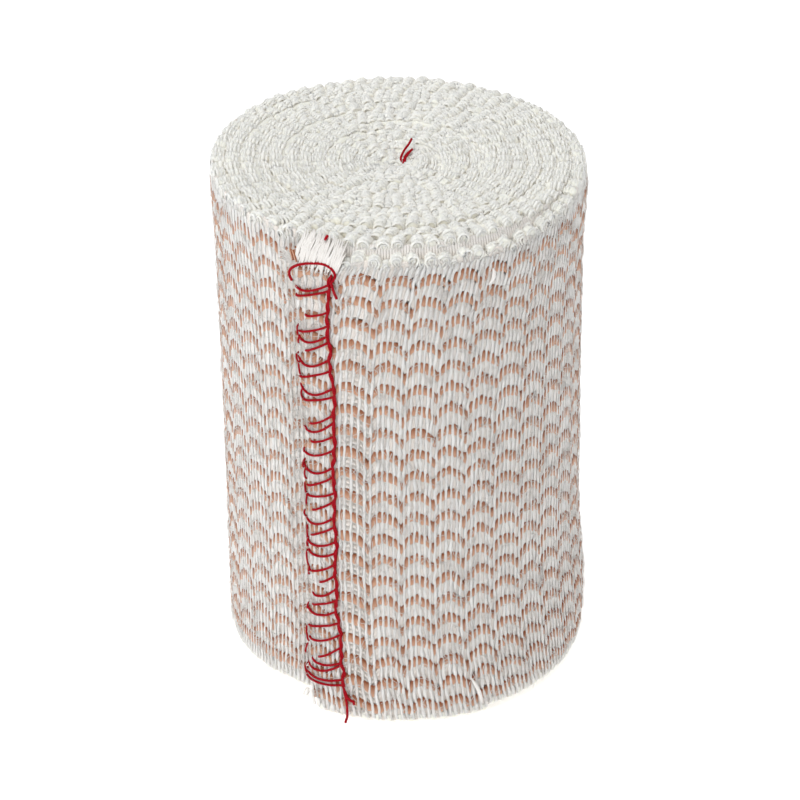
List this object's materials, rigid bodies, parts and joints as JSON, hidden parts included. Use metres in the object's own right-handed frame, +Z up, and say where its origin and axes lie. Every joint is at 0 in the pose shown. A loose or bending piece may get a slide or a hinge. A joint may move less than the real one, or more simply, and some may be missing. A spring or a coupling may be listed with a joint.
{
  "type": "crepe bandage roll",
  "caption": "Elastic crepe bandage with woven selvedges, wound on itself and stood on its edge, its overlocked outer end lying free on the roll.",
  "frame": {"origin": "middle of the base, on the surface that the roll stands on", "axes": "+Z up along the axis of the winding; -Y is the front, where the free end lies"},
  "size_m": [0.0519, 0.0521, 0.0763],
  "materials": {
    "crepe_cloth": "matte undyed cotton crepe",
    "tan_yarn": "matte tan elastic yarn",
    "red_thread": "twisted red sewing thread"
  },
  "bodies": {
    "root": {"wound_roll": "crepe_cloth", "free_end": "crepe_cloth"}
  },
  "joints": []
}
